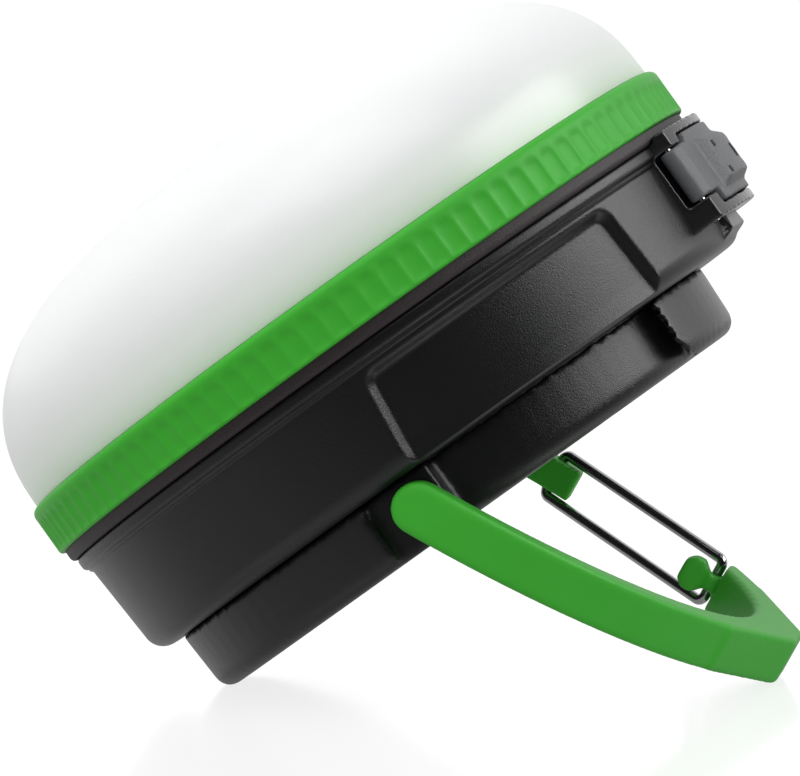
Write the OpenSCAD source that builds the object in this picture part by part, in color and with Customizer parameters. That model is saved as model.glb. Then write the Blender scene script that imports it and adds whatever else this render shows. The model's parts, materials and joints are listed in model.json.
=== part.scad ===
// Rechargeable camping lantern, standing on its base edge and on its swung-out carabiner hook.
// Every piece is drawn upright, with the lamp axis along Z and the underside of the base at z = 0.
// stance() then tips the whole lamp back until the base edge and the hook tip both touch the floor.

/* [Stance] */
// Angle the base makes with the floor when the lamp leans on its hook
tilt = 34.75; // [25:0.25:45]

/* [Lamp head] */
// Outside diameter of the green clamp ring
ring_d = 120; // [116:1:130]
// Height of the clamp ring
ring_h = 8.2; // [6:0.1:12]
// Wall of the clamp ring
ring_wall = 2.3; // [1.8:0.1:4]
// Rounding of the ring's upper and lower corners
ring_round = 1.3; // [0.6:0.1:1.6]
// Number of finger flutes round the ring
flute_count = 105; // [60:1:120]
// Depth of one flute
flute_depth = 0.35; // [0.1:0.05:0.5]
// Plain band above the flutes
flute_top_band = 2.2; // [1:0.1:3]
// Height of the frosted dome above the ring
dome_h = 29.3; // [18:0.2:40]
// Wall of the dome
dome_wall = 1.8; // [1.2:0.1:3]
// How far the dome's edge lies inside the ring's outside
dome_inset = 1.3; // [1.2:0.1:2.2]
// Height of the rubber seal under the ring
seal_h = 2.0; // [1:0.1:4]

/* [Housing] */
// How far the housing's top bead lies inside the clamp ring's outside
bead_inset = 1.5; // [1.2:0.1:2]
// Height of the top bead
bead_h = 2.3; // [1:0.1:4]
// Step from the bead down to the side wall
bead_step = 1.1; // [0.5:0.1:2]
// Height of the upper housing, from its underside to the top of its bead
housing_h = 19.4; // [18.5:0.1:26]
// How much narrower the side wall is at its foot
housing_draft = 0.7; // [0:0.1:2]
// Rounding under the side wall
housing_round = 3.3; // [1.5:0.1:4.5]
// Wall of the housing
housing_wall = 2.9; // [2.6:0.1:4]
// Floor of the housing
housing_floor = 2.2; // [1.6:0.1:3]
// Height of the spigot inside the ring
spigot_h = 5.6; // [5:0.1:7]

/* [Grip recess] */
// Depth of the recess
recess_depth = 1.6; // [0.5:0.1:1.8]
// Half of the recess's width at its upper edge, as an angle round the axis
recess_half_top = 23; // [12:0.5:26]
// Half of its width at its foot, as an angle
recess_half_foot = 26.5; // [14:0.5:30]
// Plain wall left above the recess
recess_top_gap = 1.3; // [0.6:0.1:6]
// Where the middle of the recess lies, counted from the front towards the charging port
recess_az = 28; // [20:1:32]
// Width of the slope that leads down into the recess
recess_slope = 1.3; // [0.6:0.1:2]

/* [Base tub] */
// Radius of the base tub at its top
tub_r = 51.8; // [50.6:0.1:53]
// Height of the base tub
tub_h = 10.8; // [10.6:0.1:14]
// Taper of the tub's side over its height
tub_draft = 0.4; // [0:0.1:1]
// Rounding of the tub's lower edge
tub_round = 2.6; // [2.2:0.1:3]
// Wall and floor of the tub
tub_wall = 2.4; // [1.6:0.1:3]
// How deep the flat pockets beside the pivots reach into the tub
pocket_depth = 2.5; // [2:0.1:3]
// Where the nesting recess starts, next to the pivot
nest_start_x = 3; // [2:0.1:3.6]
// How far the pivot pocket reaches to the other side of the axis
pocket_x = 8.5; // [8.2:0.1:12]

/* [Carabiner hook] */
// Width of the hook's band, seen from above
hook_band = 5.6; // [5:0.1:7.4]
// Thickness of the hook
hook_t = 8; // [7:0.1:8.6]
// Rounding of the hook's edges
hook_round = 0.9; // [0.4:0.1:1.5]
// Half of the flat foot on the hook's tip
foot_half = 6; // [3:0.5:10]
// Angle of the straight flanks on both sides of the foot
flank = 24; // [10:0.5:26]
// Height of the hook's axle above the underside of the base
pivot_z = 5.7; // [5.5:0.1:6]
// Distance of the axle from the lamp axis, away from the port
pivot_back = 1; // [0:0.1:1.5]
// Radius of the hook's axle
pin_r = 2; // [1.2:0.1:2.6]
// How deep the axle reaches into the hook's arms
pin_reach = 4; // [2:0.1:6]

/* [Wire gate] */
// Radius of the gate's wire
wire_r = 0.9; // [0.6:0.05:1]
// Distance from the pivot to the gate's hinge, along the hook
gate_q = 9; // [7:0.1:10]
// Distance from the pivot to the closed gate's cross bar, along the hook
bar_q = 41; // [36:0.1:42]
// How far the cross bar lies outside the middle line of the band
bar_out = 0.5; // [0:0.1:0.8]
// Thickness of the stub that carries the gate
stub_t = 5.3; // [4:0.1:5.8]
// Where the stub ends, along the hook
stub_end_q = 13; // [11.5:0.1:15]
// Half thickness of the nose's head
head_half = 2.85; // [2:0.05:2.9]
// Length of the nose's head
head_len = 4.2; // [3:0.1:5]

/* [Charging port] */
// Height of the cover
cover_h = 12.4; // [11:0.1:12.6]
// Height of the cover's middle above the underside of the base
cover_z = 23.1; // [22.9:0.1:23.4]
// Thickness of the cover
cover_t = 2.2; // [1.6:0.1:2.4]
// How far the cover's outer face stands out of the side wall
cover_out = 4.3; // [4:0.1:5.4]
// How far the cover reaches from the middle to its free end
cover_free_y = 19.6; // [17:0.1:21]
// Height of the raised pad on the cover
pad_h = 1.5; // [0.4:0.1:2]
// Radius of the cover's hinge pin
cover_pin_r = 0.6; // [0.4:0.05:0.8]
// How far the hinge pin lies to the front of the port's middle
cover_pin_y = 19.2; // [18.8:0.1:19.6]

/* [Switch] */
// Radius of the mode button
button_r = 5.5; // [4:0.1:6]
// How far the button stands out of its seat
button_out = 1.5; // [1.2:0.1:2.5]
// Travel of the button
button_travel = 1; // [0.4:0.1:1.2]

/* [Insides] */
// Diameter of a cell
cell_d = 18.4; // [14:0.1:18.6]
// Length of a cell
cell_len = 65; // [50:1:66]
// Number of lamp chips in the outer ring
led_count = 18; // [6:1:24]
// Side of one lamp chip
led_w = 3.5; // [2.5:0.1:4]
// Distance of the screw posts from the lamp axis
post_r = 38.5; // [37:0.1:39.5]

/* [Clearances] */
// Gap between pieces that are fixed to each other
seat = 0.05; // [0.02:0.01:0.1]
// Radial gap between a shaft and its hole
running = 0.05; // [0.02:0.01:0.09]
// Side gap of a piece that swings or slides
side = 0.2; // [0.15:0.01:0.3]

/* [Hidden] */
$fn = 96;
eps = 0.01;
far = 80;

// Heights, from the underside of the base upwards
split_z = tub_h + 0.1;
housing_top = split_z + housing_h;
seal_z = housing_top + seat;
ring_z = seal_z + seal_h + seat;
ring_top = ring_z + ring_h;
spigot_top = housing_top + spigot_h;
ring_r = ring_d / 2;
bead_r = ring_r - bead_inset;
bore_r = ring_r - ring_wall;
spigot_r = bore_r - seat;
wall_top_r = bead_r - bead_step;
wall_foot_r = wall_top_r - housing_draft;
inner_r = wall_top_r - housing_wall;
dome_r = ring_r - dome_inset;
plate_z = spigot_top - 2.8;
pivot_x = -pivot_back;
arm_gap = 0.5;
pivot_face = tub_r - pocket_depth;
hook_in_r = pivot_face + arm_gap;
hook_r = hook_in_r + hook_band;
nest_r = hook_in_r - 5.3;
notch_q = bar_q + wire_r + 0.25;
nest_end_x = pivot_x + notch_q + 0.35;
pivot_wall_y = nest_r - tub_wall - 3.4;
screw_r = 1.3;

// Where the tilted lamp touches the floor, and the angle at which the hook reaches it
edge_r = tub_r - tub_draft - tub_round;
lift = edge_r * sin(tilt) - tub_round * cos(tilt) + tub_round;
flank_r = hook_r + 0.3;
foot_q = (flank_r - foot_half * sin(flank)) / cos(flank);
tip_q = foot_q - hook_round;
tip_w = hook_t / 2 - hook_round;
tip_drop = lift + pivot_x * sin(tilt) + pivot_z * cos(tilt) - hook_round;
hook_slope = asin(tip_drop / norm([tip_q, tip_w])) - atan2(tip_w, tip_q);
hook_angle = tilt + hook_slope;
// The floor frame's origin lies under the middle of the whole lamp
reach_low = min([for (p = dome_outline(dome_r, dome_h)) -p[0] * cos(tilt) - (p[1] + ring_top) * sin(tilt)]);
reach_high = pivot_x * cos(tilt) - pivot_z * sin(tilt) + tip_q * cos(hook_slope)
             + tip_w * sin(hook_slope) + hook_round;
shift = -(reach_low + reach_high) / 2;

module stance() translate([shift, 0, lift]) rotate([0, -tilt, 0]) children();
// The hook's own frame: X along the hook, Y across it, Z through its thickness
module hook_frame() translate([pivot_x, 0, pivot_z]) rotate([0, hook_angle, 0]) children();
// Turns a shape drawn towards +X to a place counted from the front (-Y) towards the port (+X)
module at_az(a) rotate([0, 0, a - 90]) children();
module along_y() rotate([-90, 0, 0]) children();

function arc(cx, cz, r, a0, a1, n = 8) =
    [for (i = [0 : n]) [cx + r * cos(a0 + (a1 - a0) * i / n), cz + r * sin(a0 + (a1 - a0) * i / n)]];
// Flattened dome: a rounded square-shouldered curve from the rim to the crown
function dome_outline(r, h, n = 28) =
    [for (i = [0 : n]) [r * pow(cos(90 * i / n), 2 / 3), h * pow(sin(90 * i / n), 0.8)]];

// ---------- Lamp head ----------

module diffuser_dome() color("white", 0.9) stance() {
    skirt_r = bore_r - seat;
    foot = spigot_top - ring_top + 0.3;
    inner = dome_outline(dome_r - dome_wall, dome_h - dome_wall);
    outer = dome_outline(dome_r, dome_h);
    translate([0, 0, ring_top + seat])
        rotate_extrude() polygon(concat(
            [[skirt_r - 1.6, foot], [skirt_r, foot], [skirt_r, 0]],
            outer,
            [for (i = [len(inner) - 1 : -1 : 0]) inner[i]]));
}

// Outline of the fluted band: shallow hollows that meet in sharp ridges
function fluted(n = 4) = [for (i = [0 : flute_count - 1]) for (k = [0 : n - 1])
    let (u = k / n, a = 360 * (i + u) / flute_count)
    let (r = ring_r + 0.02 - flute_depth * (1 - pow(2 * u - 1, 2)))
    [r * cos(a), r * sin(a)]];

module bezel_ring() color("limegreen") stance() difference() {
    rotate_extrude() polygon(concat(
        [[bore_r, ring_z], [bore_r, ring_top]],
        arc(ring_r - ring_round, ring_top - ring_round, ring_round, 90, 0),
        arc(ring_r - ring_round / 2, ring_z + ring_round / 2, ring_round / 2, 0, -90, 5)));
    difference() {
        translate([0, 0, ring_z - 1]) cylinder(r = far, h = ring_h - flute_top_band + 1);
        translate([0, 0, ring_z - 2]) linear_extrude(height = ring_h + 4) polygon(fluted());
    }
}

module ring_seal() color("#3a3032") stance() {
    r = ring_r - 0.8;
    rotate_extrude() polygon(concat(
        [[spigot_r + seat, seal_z], [spigot_r + seat, seal_z + seal_h], [r, seal_z + seal_h]],
        arc(r - 0.8, seal_z + 0.8, 0.8, 0, -90, 6)));
}

// ---------- Upper housing ----------

module housing_shell() rotate_extrude() polygon(concat(
    [[inner_r, split_z + housing_floor], [inner_r, spigot_top], [spigot_r, spigot_top], [spigot_r, housing_top]],
    arc(bead_r - 0.6, housing_top - 0.6, 0.6, 90, 0, 4),
    arc(bead_r - 0.8, housing_top - bead_h + 0.8, 0.8, 0, -70, 5),
    [[wall_top_r, housing_top - bead_h - 0.4]],
    arc(wall_foot_r - housing_round, split_z + housing_round, housing_round, 0, -90, 10),
    [[0, split_z], [0, split_z + housing_floor]]));

// Recess with sloping borders, open at the foot
recess_top = housing_top - bead_h - recess_top_gap;
module grip_recess() at_az(recess_az) intersection() {
    rotate_extrude() polygon([
        [wall_foot_r - recess_depth, split_z - 1], [far, split_z - 1], [far, recess_top],
        [wall_top_r, recess_top], [wall_top_r - recess_depth, recess_top - recess_slope]]);
    for_both_sides() recess_side();
}
module for_both_sides() intersection() {
    children();
    mirror([0, 1, 0]) children();
}
// Everything to the middle of one sloping side
module recess_side() {
    r = (wall_top_r + wall_foot_r) / 2;
    a = (recess_half_top + recess_half_foot) / 2;
    rise = recess_top - split_z;
    lean = atan(r * (recess_half_foot - recess_half_top) * PI / 180 / rise);
    translate([r * cos(a), r * sin(a), split_z + rise / 2])
        rotate([0, 0, a]) rotate([lean, 0, 0]) rotate([0, 0, atan(recess_slope / recess_depth)])
            translate([-far, -far, -far]) cube([2 * far, far, 2 * far]);
}

post_angles = [45, 135, 225, 315];
module at_posts() for (a = post_angles) rotate([0, 0, a]) translate([post_r, 0, 0]) children();

button_y = wall_top_r - 1.2;
flange_y = inner_r - 1.9;
module upper_housing() color("#232323") stance() difference() {
    union() {
        difference() {
            housing_shell();
            translate([-cell_len / 2 - 3, -cell_d - 2.6, split_z - 1])
                cube([cell_len + 6, 2 * cell_d + 5.2, housing_floor + 2]);
        }
        at_posts() translate([0, 0, split_z + housing_floor - eps])
            cylinder(r = 3.2, h = plate_z - split_z - housing_floor + eps, $fn = 32);
        // ribs that hold the switch board
        for (s = [-1, 1]) translate([s * 8.2 - 1.2, button_y - 11.4, split_z + housing_floor - eps])
            cube([2.4, 6, 11]);
        // flat rest for a thumb below the port
        translate([wall_foot_r - 2, -10, split_z + 1.4]) cube([2.5, 20, port_low - split_z - 1.7]);
    }
    grip_recess();
    at_posts() {
        translate([0, 0, plate_z - 8]) cylinder(r = screw_r - 0.1, h = 9, $fn = 24);
        translate([0, 0, split_z - 1]) cylinder(r = screw_r - 0.1, h = 11, $fn = 24);
    }
    // window for the port block
    translate([inner_r - 5, -port_in_half - seat, port_in_low - seat])
        cube([14, 2 * (port_in_half + seat), port_in_high - port_in_low + 2 * seat]);
    sector(port_seat_r - seat, far, -port_half - seat, port_half + seat, port_low - seat, port_high + seat);
    // seat and hole of the button
    translate([0, button_y, button_z]) along_y() cylinder(r = button_r + 2, h = 10);
    translate([0, inner_r - 6, button_z]) along_y() cylinder(r = button_r + side, h = 14);
    // slots for the switch board
    translate([-7 - seat, board_y - seat, split_z + housing_floor + 1])
        cube([14 + 2 * seat, 1.6 + 2 * seat, 20]);
}

// ---------- Base tub ----------

module tub_form(r) rotate_extrude() polygon(concat(
    [[0, 0]],
    arc(r - tub_draft - tub_round, tub_round, tub_round, -90, 0, 8),
    [[r, tub_h], [0, tub_h]]));

module slab(x0, x1) translate([x0, -far, -1]) cube([x1 - x0, 2 * far, tub_h + 2]);

block_r = hook_in_r - 0.9;
module base_tub() color("#262626") stance() difference() {
    union() {
        tub_form(nest_r);
        intersection() {
            tub_form(tub_r);
            slab(-far, nest_start_x);
        }
        intersection() {
            translate([pivot_x, 0, 0]) tub_form(block_r);
            slab(nest_end_x, far);
        }
    }
    // flat pockets beside the pivots
    for (s = [-1, 1]) translate([-pocket_x, s > 0 ? pivot_face : -far, -1])
        cube([pocket_x + far, far - pivot_face, tub_h + 2]);
    // inside of the tub
    translate([0, 0, tub_wall]) difference() {
        union() {
            cylinder(r = nest_r - tub_wall, h = tub_h);
            intersection() {
                cylinder(r = tub_r - tub_wall - 0.4, h = tub_h);
                translate([-far, -far, 0]) cube([far - pocket_x - 3, 2 * far, tub_h]);
            }
        }
        at_posts() translate([0, 0, -1]) cylinder(r = 4.2, h = tub_h + 2, $fn = 32);
        for (s = [-1, 1]) translate([pivot_x - 6, s > 0 ? pivot_wall_y : -pivot_wall_y - 12, -1])
            cube([12, 12, tub_h + 2]);
    }
    // bores of the hook's axle
    translate([pivot_x, -far, pivot_z]) along_y() cylinder(r = pin_r + running, h = 2 * far, $fn = 48);
    // base screws
    at_posts() {
        translate([0, 0, -1]) cylinder(r = screw_r + 0.3, h = tub_h + 2, $fn = 24);
        translate([0, 0, -1]) cylinder(r = 3.1, h = 3.4, $fn = 32);
    }
    // magnet pockets, open to the inside
    at_magnets() translate([0, 0, 0.8]) cylinder(r = magnet_r + seat, h = tub_h, $fn = 48);
    // groove of the gasket
    translate([0, 0, tub_h - 0.7]) gasket_form(0.05);
}

magnet_r = 4.5;
magnet_t = 3.4;
magnet_at = nest_r - magnet_r;
module at_magnets() for (s = [-1, 1]) translate([-magnet_at, s * 12, 0]) children();

module gasket_form(extra) difference() {
    cylinder(r = nest_r - 0.7 + extra, h = 0.75 + extra);
    translate([0, 0, -1]) cylinder(r = nest_r - 1.7 - extra, h = 3);
}
module base_gasket() color("#111111") stance() translate([0, 0, tub_h - 0.7 + 0.02]) difference() {
    cylinder(r = nest_r - 0.7, h = 0.74);
    translate([0, 0, -1]) cylinder(r = nest_r - 1.7, h = 3);
}

module base_screws() color("silver") stance() at_posts() {
    translate([0, 0, 0.5]) cylinder(r = 2.8, h = 1.85, $fn = 32);
    cylinder_at(2.3, screw_r - 0.15, split_z + 6);
}
module cylinder_at(z, r, top) translate([0, 0, z]) cylinder(r = r, h = top - z, $fn = 24);

module base_magnets() color("silver") stance() at_magnets() translate([0, 0, 0.85])
    cylinder(r = magnet_r, h = magnet_t, $fn = 48);

// ---------- Carabiner hook ----------

// Cross section of the hook's band, with rounded edges
module band_section() {
    r = hook_round;
    h = hook_t / 2;
    polygon(concat(
        arc(hook_r - r, h - r, r, 0, 90, 5), arc(hook_in_r + r, h - r, r, 90, 180, 5),
        arc(hook_in_r + r, -h + r, r, 180, 270, 5), arc(hook_r - r, -h + r, r, 270, 360, 5)));
}

// Round end of an arm, drawn as the half that lies beyond the pivot
module hook_arm_end(s) translate([0, s > 0 ? hook_in_r : -hook_r, 0]) along_y()
    rotate([0, 0, 90]) rotate_extrude(angle = 180, $fn = 64) polygon(concat(
        [[0, 0]], arc(hook_t / 2 - hook_round, hook_round, hook_round, -90, 0, 5),
        arc(hook_t / 2 - hook_round, hook_band - hook_round, hook_round, 0, 90, 5), [[0, hook_band]]));

mid_r = hook_r - hook_band / 2;
gate_y = sqrt(mid_r * mid_r - gate_q * gate_q);
bar_y = sqrt(mid_r * mid_r - bar_q * bar_q) + bar_out;
gate_len = norm([bar_q - gate_q, gate_y - bar_y]);
gate_angle = atan2(gate_y - bar_y, bar_q - gate_q);
leg_w = max(stub_t / 2 + running, head_half + 0.1) + wire_r;
nose_y = bar_y - wire_r - 0.2;

module hook() color("limegreen") stance() hook_frame() {
    difference() {
        union() {
            rotate([0, 0, -90]) rotate_extrude(angle = 180, $fn = 128) band_section();
            hook_arm_end(-1);
            hook_tip();
        }
        // gap that the gate closes
        translate([-hook_t, hook_in_r / 3, -hook_t]) cube([notch_q + hook_t, hook_r, 2 * hook_t]);
        // room in which the cross bar swings out
        intersection() {
            translate([gate_q, gate_y, -hook_t])
                cylinder(r = gate_len + wire_r + 0.25, h = 2 * hook_t, $fn = 128);
            translate([notch_q - 1, nose_y, -2 * hook_t]) cube([20, 20, 4 * hook_t]);
        }
        axle_hole(-1);
    }
    nose();
}

// Short arm that carries the gate's hinge
module hook_stub() color("limegreen") stance() hook_frame() difference() {
    union() {
        mirror([0, 1, 0]) rotate([0, 0, -90]) rotate_extrude(angle = 25, $fn = 128) band_section();
        hook_arm_end(1);
    }
    translate([stub_end_q, 0, -hook_t]) cube([far, far, 2 * hook_t]);
    // thin end between the gate's legs
    for (s = [-1, 1]) translate([hook_t / 2 + 0.3, hook_in_r / 2, s > 0 ? stub_t / 2 : -stub_t / 2 - hook_t])
        cube([stub_end_q, hook_r, hook_t]);
    translate([gate_q, gate_y, -hook_t]) cylinder(r = wire_r + running, h = 2 * hook_t, $fn = 48);
    axle_hole(1);
}

module axle_hole(s) translate([0, s * (hook_in_r - 1), 0]) rotate([-s * 90, 0, 0])
    cylinder(r = pin_r + 0.02, h = pin_reach + 1 + side, $fn = 48);

// Tip with two straight flanks and a flat foot, rounded along its edges
module hook_tip() difference() {
    intersection() {
        foot_form(foot_q);
        for_both_sides() rotate([0, 0, flank]) foot_form(flank_r);
    }
    translate([0, 0, -far]) cylinder(r = hook_in_r + hook_round, h = 2 * far, $fn = 128);
    // only where the flanks leave the round band
    translate([-far, -far, -far]) cube([far + hook_r * cos(flank + 4), 2 * far, 2 * far]);
}
module foot_form(q) translate([0, far, 0]) rotate([90, 0, 0]) linear_extrude(height = 2 * far) foot_side(q);
module foot_side(q) {
    r = hook_round;
    h = hook_t / 2;
    polygon(concat([[0, -h]], arc(q - r, -h + r, r, -90, 0, 5), arc(q - r, h - r, r, 0, 90, 5), [[0, h]]));
}

// Neck and eight-sided head that hold the gate's cross bar
module nose() {
    head_q = bar_q - wire_r - 0.3 - head_len;
    neck_half = 1.35;
    translate([head_q + 0.5, nose_y - 2.9, -neck_half]) cube([notch_q - head_q + 1, 2.9, 2 * neck_half]);
    c = 1.2;
    h = head_half;
    l = head_len;
    translate([head_q, nose_y + 0.8, 0]) rotate([90, 0, 0]) linear_extrude(height = 4.4)
        polygon([[c, -h], [l - c, -h], [l, -h + c], [l, h - c], [l - c, h], [c, h], [0, h - c], [0, -h + c]]);
}

// One rod through the base turns both arms together; a collar keeps it from drifting sideways
module hook_axle() color("silver") stance() translate([pivot_x, 0, pivot_z]) {
    axle_len = 2 * (hook_in_r + pin_reach);
    translate([0, -axle_len / 2, 0]) along_y() cylinder(r = pin_r, h = axle_len, $fn = 48);
    translate([0, pivot_wall_y - 1.5 - side, 0]) along_y() cylinder(r = pin_r + 1.2, h = 1.5, $fn = 48);
}

washer_r = pin_r + 1.1;
washer_t = arm_gap - 0.06 - (hook_in_r - sqrt(hook_in_r * hook_in_r - washer_r * washer_r));
module friction_washers() color("black") stance() for (s = [-1, 1])
    translate([pivot_x, s * (pivot_face + 0.03), pivot_z]) rotate([-s * 90, 0, 0]) difference() {
        cylinder(r = washer_r, h = washer_t, $fn = 48);
        translate([0, 0, -1]) cylinder(r = pin_r + running, h = 3, $fn = 48);
    }

// ---------- Wire gate ----------

// One wire bent into a U, with its ends turned in to make the hinge
wire_bend = leg_w - stub_t / 2 - running;
module elbow() rotate([90, 0, 0]) rotate_extrude(angle = 90, $fn = 48)
    translate([wire_bend, 0]) circle(r = wire_r, $fn = 48);

module gate_wire() color("silver") stance() hook_frame()
    translate([gate_q, gate_y, 0]) rotate([0, 0, -gate_angle]) {
        b = wire_bend;
        for (s = [0, 1]) mirror([0, 0, s]) {
            translate([0, 0, 0.6]) cylinder(r = wire_r, h = leg_w - b - 0.6, $fn = 48);
            translate([b, 0, leg_w - b]) rotate([0, -90, 0]) elbow();
            translate([b, 0, leg_w]) rotate([0, 90, 0]) cylinder(r = wire_r, h = gate_len - 2 * b, $fn = 48);
            translate([gate_len - b, 0, leg_w - b]) elbow();
        }
        translate([gate_len, 0, b - leg_w]) cylinder(r = wire_r, h = 2 * (leg_w - b), $fn = 48);
    }

// ---------- Charging port ----------

port_low = cover_z - cover_h / 2 - 1.9;
port_high = cover_z + cover_h / 2 + 1.8;
cover_r = wall_top_r + cover_out;
port_half = cover_pin_y + 1.4;
port_seat_r = wall_foot_r - 1.1;
port_r = cover_r - 0.25;
port_floor_r = cover_r - cover_t - 1.4;
port_in_half = 16.5;
port_in_low = cover_z - 5.5;
port_in_high = cover_z + 5.5;
lug_y = cover_pin_y - 2.3;
plate_y = lug_y - 1.3;
lug_low = cover_z - 4.25;
lug_high = cover_z + 5.05;
pin_ring_r = cover_r - cover_t / 2 - 0.8;
pin_x = sqrt(pin_ring_r * pin_ring_r - cover_pin_y * cover_pin_y);
socket_face = port_floor_r - 0.6;
board_t = 1.6;
board_top = cover_z - 2.9;
board_len = 20.4;
board_half = 13.8;
usb_y = -7;
usb_w = 13.1;
usb_h = 5.7;
usb_len = 14;
micro_y = 8.5;
micro_w = 7.6;
micro_h = 2.8;
micro_len = 5.6;
shell_t = 0.4;
pipe_y = 1.2;
pipe_w = 1.6;
pipe_h = 1.5;
pipe_len = 7;

module sector(r_in, r_out, y0, y1, z0, z1) intersection() {
    translate([0, 0, z0]) difference() {
        cylinder(r = r_out, h = z1 - z0, $fn = 128);
        translate([0, 0, -1]) cylinder(r = r_in, h = z1 - z0 + 2, $fn = 128);
    }
    translate([r_in / 2, y0, z0 - 1]) cube([far, y1 - y0, z1 - z0 + 2]);
}

module port_housing() color("#161616") stance() difference() {
    union() {
        difference() {
            sector(port_seat_r, port_r, -port_half, port_half, port_low, port_high);
            translate([0, 0, housing_top - seat]) cylinder(r = ring_r - 0.8 + 0.1, h = 10, $fn = 128);
        }
        translate([inner_r - 2.4, -port_in_half, port_in_low])
            cube([5, 2 * port_in_half, port_in_high - port_in_low]);
        // shelf under the charging board
        translate([inner_r - 10, -board_half, port_in_low])
            cube([10, 2 * board_half, board_top - board_t - seat - port_in_low]);
    }
    // pocket of the cover
    sector(port_floor_r, far, -lug_y, far, cover_z - cover_h / 2 - side, cover_z + cover_h / 2 + side);
    sector(port_floor_r, far, -far / 2, -lug_y + eps, lug_low, lug_high);
    translate([pin_x, -cover_pin_y, lug_low]) cylinder(r = 2.6, h = lug_high - lug_low, $fn = 48);
    // hinge pin
    translate([pin_x, -cover_pin_y, port_low - 1])
        cylinder(r = cover_pin_r + 0.02, h = port_high - port_low - 0.2, $fn = 24);
    // mouths of the sockets
    socket_hole(usb_y, usb_w, usb_h);
    socket_hole(micro_y, micro_w, micro_h);
    translate([inner_r - 6, -board_half - 0.3, board_top - board_t - 2 * seat])
        cube([socket_face - 0.6 - inner_r + 6, 2 * board_half + 0.6, board_t + 3 * seat]);
    translate([inner_r - 6, pipe_y - seat, board_top]) cube([20, pipe_w + 2 * seat, pipe_h + 2 * seat]);
}
module socket_hole(y, w, h) translate([inner_r - 8, y - w / 2 - seat, board_top])
    cube([24, w + 2 * seat, h + 2 * seat]);

module port_cover() color("#707070") stance() difference() {
    union() {
        sector(cover_r - cover_t, cover_r, -plate_y, cover_free_y, cover_z - cover_h / 2, cover_z + cover_h / 2);
        sector(cover_r - cover_t, cover_r, -cover_pin_y, -plate_y + 1, lug_low + side, lug_high - side);
        translate([pin_x, -cover_pin_y, lug_low + side])
            cylinder(r = 1.6, h = lug_high - lug_low - 2 * side, $fn = 48);
        // raised pad with sloping edges
        for (i = [0 : 3])
            sector(cover_r - 0.5, cover_r + pad_h * (i + 1) / 4, -13.5 + 0.4 * i, 13.5 - 0.4 * i,
                   cover_z - 4.5 + 0.25 * i, cover_z + 4.1 - 0.35 * i);
        // finger lip at the free end
        sector(cover_r - 1.2, cover_r + 0.6, cover_free_y - 1, cover_free_y + 1.2, cover_z - 3.5, cover_z + 3.5);
        // plug that closes the sockets
        translate([port_floor_r - 0.2, usb_y - 5.4, cover_z - 2]) cube([3.5, 10.8, 3.6]);
    }
    translate([pin_x, -cover_pin_y, lug_low - 1]) cylinder(r = cover_pin_r + running, h = 14, $fn = 24);
}

module cover_pin() color("silver") stance() translate([pin_x, -cover_pin_y, port_low - seat])
    cylinder(r = cover_pin_r, h = port_high - port_low - 1.2, $fn = 24);

module usb_a_socket() color("silver") stance() translate([socket_face - usb_len, usb_y, board_top + seat]) {
    t = shell_t;
    difference() {
        translate([0, -usb_w / 2, 0]) cube([usb_len, usb_w, usb_h]);
        translate([2 * t, -usb_w / 2 + t, t]) cube([usb_len, usb_w - 2 * t, usb_h - 2 * t]);
    }
    translate([t, -usb_w / 2 + 0.95, usb_h / 2]) cube([usb_len - 3.6, usb_w - 1.9, 1.7]);
}

module micro_usb_socket() color("silver") stance()
    translate([socket_face - micro_len, micro_y, board_top + seat]) {
        t = shell_t;
        difference() {
            translate([0, -micro_w / 2, 0]) cube([micro_len, micro_w, micro_h]);
            translate([2 * t, -micro_w / 2 + t, t]) cube([micro_len, micro_w - 2 * t, micro_h - 2 * t]);
        }
        translate([t, -micro_w / 4, micro_h / 2 - 0.3]) cube([micro_len - 1.4, micro_w / 2, 0.6]);
    }

module charge_board() color("darkgreen") stance()
    translate([socket_face - 1 - board_len, -board_half, board_top - board_t])
        cube([board_len, 2 * board_half, board_t]);

module charge_lamp() color("white") stance() translate([socket_face - pipe_len, pipe_y, board_top + seat])
    cube([pipe_len, pipe_w, pipe_h]);

// ---------- Switch ----------

button_lip = 1.1;
button_z = split_z + housing_floor + button_r + button_lip + 0.3;
board_y = button_y - 9.4;
module mode_button() color("#2e2e2e") stance() translate([0, 0, button_z]) {
    out = button_y + button_out - flange_y + 0.4;
    translate([0, flange_y - 0.4, 0]) along_y() rotate_extrude() polygon(concat(
        [[0, 0], [button_r, 0]], arc(button_r - 0.7, out - 0.7, 0.7, 0, 90, 5), [[0, out]]));
    translate([0, flange_y - 1.4, 0]) along_y() cylinder(r = button_r + button_lip, h = 1.3);
}
module tact_switch() color("#444444") stance() translate([0, board_y + 1.65, button_z]) {
    translate([-3, 0, -3]) cube([6, 1.4, 6]);
    along_y() cylinder(r = 1.7, h = flange_y - 1.4 - button_travel - 0.1 - board_y - 1.65, $fn = 32);
}
module switch_board() color("darkgreen") stance() translate([-7, board_y, split_z + housing_floor + 1 + seat])
    cube([14, 1.6, 12]);

// ---------- Light source ----------

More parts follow.
